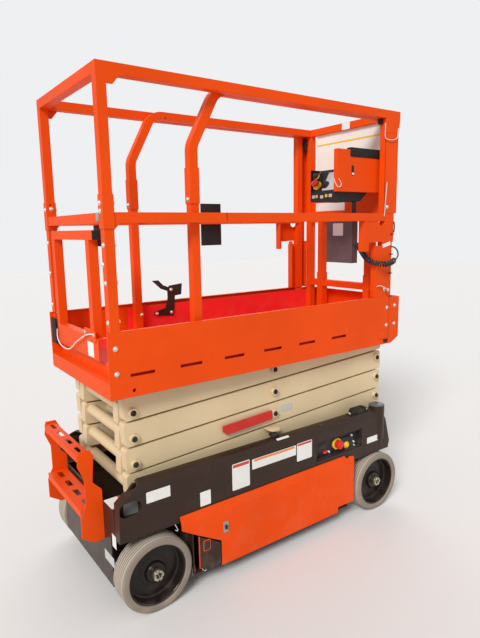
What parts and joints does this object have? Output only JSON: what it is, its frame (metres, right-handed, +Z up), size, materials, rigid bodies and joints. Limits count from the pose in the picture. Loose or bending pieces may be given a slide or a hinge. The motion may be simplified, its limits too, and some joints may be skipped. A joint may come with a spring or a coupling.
{
  "type": "electric scissor lift",
  "caption": "Narrow electric scissor lift with folding guard rails, a sliding deck extension, a rear gate and steered front wheels, stowed.",
  "frame": {"origin": "on the floor under the middle of the machine's overall box", "axes": "+X towards the front, where the steered wheels and the platform controls are; +Y to the left; +Z up"},
  "size_m": [1.808, 0.8138, 2.154],
  "materials": {
    "barrel_paint": "satin",
    "battery_case": "matte",
    "black_plastic": "matte",
    "bright_rod": "polished",
    "cord_rubber": "matte",
    "cream_paint": "satin",
    "dark_paint": "satin",
    "deck_paint": "satin",
    "grey_plastic": "textured",
    "orange_paint": "gloss",
    "red_paint": "satin",
    "rim_paint": "satin",
    "tyre_rubber": "matte",
    "white_board": "matte"
  },
  "bodies": {
    "chassis": {"chassis_deck": "dark_paint", "chassis_wall_left": "dark_paint", "chassis_wall_right": "dark_paint", "side_trays": "dark_paint", "battery_block": "battery_case", "pump_block": "battery_case", "ladder": "orange_paint", "rear_axle": "dark_paint", "front_axle": "dark_paint", "ground_panel": "black_plastic", "pothole_guards": "dark_paint"},
    "door_left": {"tray_door_left": "orange_paint"},
    "door_right": {"tray_door_right": "orange_paint"},
    "steer_left": {"knuckle_left": "dark_paint"},
    "steer_right": {"knuckle_right": "dark_paint"},
    "wheel_rear_left": {"tyre_rear_left": "tyre_rubber", "rim_rear_left": "rim_paint"},
    "wheel_rear_right": {"tyre_rear_right": "tyre_rubber", "rim_rear_right": "rim_paint"},
    "wheel_front_left": {"tyre_front_left": "tyre_rubber", "rim_front_left": "rim_paint"},
    "wheel_front_right": {"tyre_front_right": "tyre_rubber", "rim_front_right": "rim_paint"},
    "outer_1": {"outer_arms_1": "cream_paint"},
    "inner_1": {"inner_arms_1": "cream_paint"},
    "outer_2": {"outer_arms_2": "cream_paint", "maintenance_prop": "red_paint"},
    "inner_2": {"inner_arms_2": "cream_paint"},
    "outer_3": {"outer_arms_3": "cream_paint"},
    "inner_3": {"inner_arms_3": "cream_paint"},
    "outer_4": {"outer_arms_4": "cream_paint"},
    "inner_4": {"inner_arms_4": "cream_paint"},
    "barrel": {"lift_barrel": "barrel_paint"},
    "rod": {"lift_rod": "bright_rod"},
    "platform": {"roller_channels": "deck_paint", "cross_members": "deck_paint", "platform_deck": "deck_paint", "platform_skirts": "orange_paint", "rear_sill": "orange_paint", "side_rail_left": "orange_paint", "side_rail_right": "orange_paint", "rear_rails": "orange_paint", "gate_brackets": "orange_paint", "rail_feet": "orange_paint", "rail_plate": "black_plastic", "curly_cord": "cord_rubber", "cord_tail": "cord_rubber"},
    "gate": {"gate": "orange_paint"},
    "extension": {"extension_deck": "deck_paint", "extension_sides": "orange_paint", "extension_toe_plates": "orange_paint", "arch_rails": "orange_paint", "front_frame": "orange_paint", "deck_lock_lever": "dark_paint", "front_board": "white_board", "control_station": "black_plastic", "station_shield": "orange_paint", "manual_box": "grey_plastic"}
  },
  "joints": [
    {"name": "lift", "type": "hinge", "parent": "chassis", "child": "outer_1", "pos_m": [-0.685, 0, 0.506], "axis": [0, -1, 0], "range_deg": [0, 55.93]},
    {"name": "fold_inner_1", "type": "hinge", "parent": "outer_1", "child": "inner_1", "pos_m": [0.05893, 0, 0.5615], "axis": [0, -1, 0], "range_deg": [-111.87, 0]},
    {"name": "fold_outer_2", "type": "hinge", "parent": "inner_1", "child": "outer_2", "pos_m": [-0.685, 0, 0.617], "axis": [0, -1, 0], "range_deg": [0, 111.87]},
    {"name": "fold_inner_2", "type": "hinge", "parent": "outer_2", "child": "inner_2", "pos_m": [0.05893, 0, 0.6725], "axis": [0, -1, 0], "range_deg": [-111.87, 0]},
    {"name": "fold_outer_3", "type": "hinge", "parent": "inner_2", "child": "outer_3", "pos_m": [-0.685, 0, 0.728], "axis": [0, -1, 0], "range_deg": [0, 111.87]},
    {"name": "fold_inner_3", "type": "hinge", "parent": "outer_3", "child": "inner_3", "pos_m": [0.05893, 0, 0.7835], "axis": [0, -1, 0], "range_deg": [-111.87, 0]},
    {"name": "fold_outer_4", "type": "hinge", "parent": "inner_3", "child": "outer_4", "pos_m": [-0.685, 0, 0.839], "axis": [0, -1, 0], "range_deg": [0, 111.87]},
    {"name": "fold_inner_4", "type": "hinge", "parent": "outer_4", "child": "inner_4", "pos_m": [0.05893, 0, 0.8945], "axis": [0, -1, 0], "range_deg": [-111.87, 0]},
    {"name": "fold_platform", "type": "hinge", "parent": "inner_4", "child": "platform", "pos_m": [-0.685, 0, 0.95], "axis": [0, -1, 0], "range_deg": [0, 55.93]},
    {"name": "barrel_swing", "type": "hinge", "parent": "inner_1", "child": "barrel", "pos_m": [0.70713, 0, 0.51314], "axis": [0, -1, 0], "range_deg": [-10.04, 0]},
    {"name": "rod_stroke", "type": "slide", "parent": "barrel", "child": "rod", "axis": [-0.9874, 0, 0.1582], "range_m": [0, 1.195]},
    {"name": "deck_slide", "type": "slide", "parent": "platform", "child": "extension", "axis": [1, 0, 0], "range_m": [0, 0.9]},
    {"name": "gate_swing", "type": "hinge", "parent": "platform", "child": "gate", "pos_m": [-0.768, 0.3, 1.3], "axis": [0, 0, 1], "range_deg": [0, 70]},
    {"name": "tray_door_right", "type": "hinge", "parent": "chassis", "child": "door_right", "pos_m": [0.515, -0.391, 0.21], "axis": [0, 0, 1], "range_deg": [0, 90]},
    {"name": "tray_door_left", "type": "hinge", "parent": "chassis", "child": "door_left", "pos_m": [0.515, 0.391, 0.21], "axis": [0, 0, -1], "range_deg": [0, 90]},
    {"name": "steer_left", "type": "hinge", "parent": "chassis", "child": "steer_left", "pos_m": [0.703, 0.277, 0.1615], "axis": [0, 0, 1], "range_deg": [-60, 60]},
    {"name": "steer_right", "type": "hinge", "parent": "chassis", "child": "steer_right", "pos_m": [0.703, -0.277, 0.1615], "axis": [0, 0, 1], "range_deg": [-60, 60]},
    {"name": "roll_rear_right", "type": "hinge", "parent": "chassis", "child": "wheel_rear_right", "pos_m": [-0.657, -0.355, 0.1615], "axis": [0, 1, 0], "continuous": true},
    {"name": "roll_rear_left", "type": "hinge", "parent": "chassis", "child": "wheel_rear_left", "pos_m": [-0.657, 0.355, 0.1615], "axis": [0, 1, 0], "continuous": true},
    {"name": "roll_front_right", "type": "hinge", "parent": "steer_right", "child": "wheel_front_right", "pos_m": [0.703, -0.355, 0.1615], "axis": [0, 1, 0], "continuous": true},
    {"name": "roll_front_left", "type": "hinge", "parent": "steer_left", "child": "wheel_front_left", "pos_m": [0.703, 0.355, 0.1615], "axis": [0, 1, 0], "continuous": true}
  ],
  "couplings": [
    {"joint": "fold_inner_1", "follows": "lift", "ratio": -2},
    {"joint": "fold_outer_2", "follows": "lift", "ratio": 2},
    {"joint": "fold_inner_2", "follows": "lift", "ratio": -2},
    {"joint": "fold_outer_3", "follows": "lift", "ratio": 2},
    {"joint": "fold_inner_3", "follows": "lift", "ratio": -2},
    {"joint": "fold_outer_4", "follows": "lift", "ratio": 2},
    {"joint": "fold_inner_4", "follows": "lift", "ratio": -2},
    {"joint": "fold_platform", "follows": "lift", "ratio": 1},
    {"joint": "barrel_swing", "follows": "lift", "ratio": -0.17937},
    {"joint": "rod_stroke", "follows": "lift", "m_per_rad": 1.2236},
    {"joint": "steer_right", "follows": "steer_left", "ratio": 1}
  ]
}
